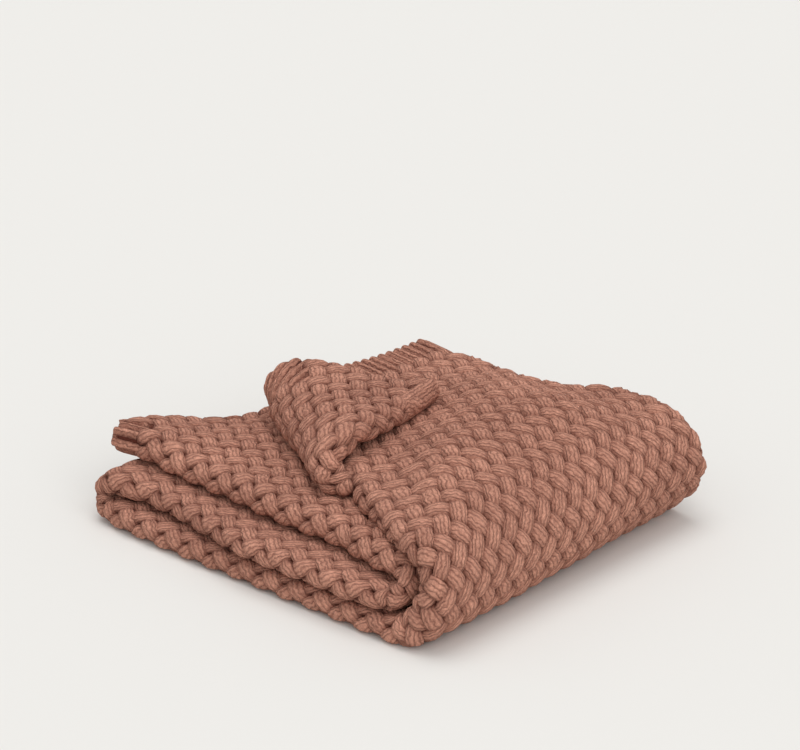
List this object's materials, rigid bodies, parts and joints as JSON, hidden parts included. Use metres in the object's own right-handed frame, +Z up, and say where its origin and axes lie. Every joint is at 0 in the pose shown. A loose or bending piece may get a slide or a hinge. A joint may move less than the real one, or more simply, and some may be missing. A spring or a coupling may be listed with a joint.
{
  "type": "folded throw blanket",
  "caption": "Cable-knitted throw blanket, folded into a flat pile with its front corner turned over on top.",
  "frame": {"origin": "centre of the bounding box, at the level of the surface that the bottom slab lies on", "axes": "+Z up through the slabs, +X towards the rounded full-height fold, +Y from the rounded front folds back to the selvedges"},
  "size_m": [0.3778, 0.3453, 0.1096],
  "materials": {
    "terracotta_wool": "soft matt wool-blend yarn in dusty terracotta, plaited cable knit with ribbed ends"
  },
  "bodies": {
    "root": {"knitted_panel": "terracotta_wool"}
  },
  "joints": []
}
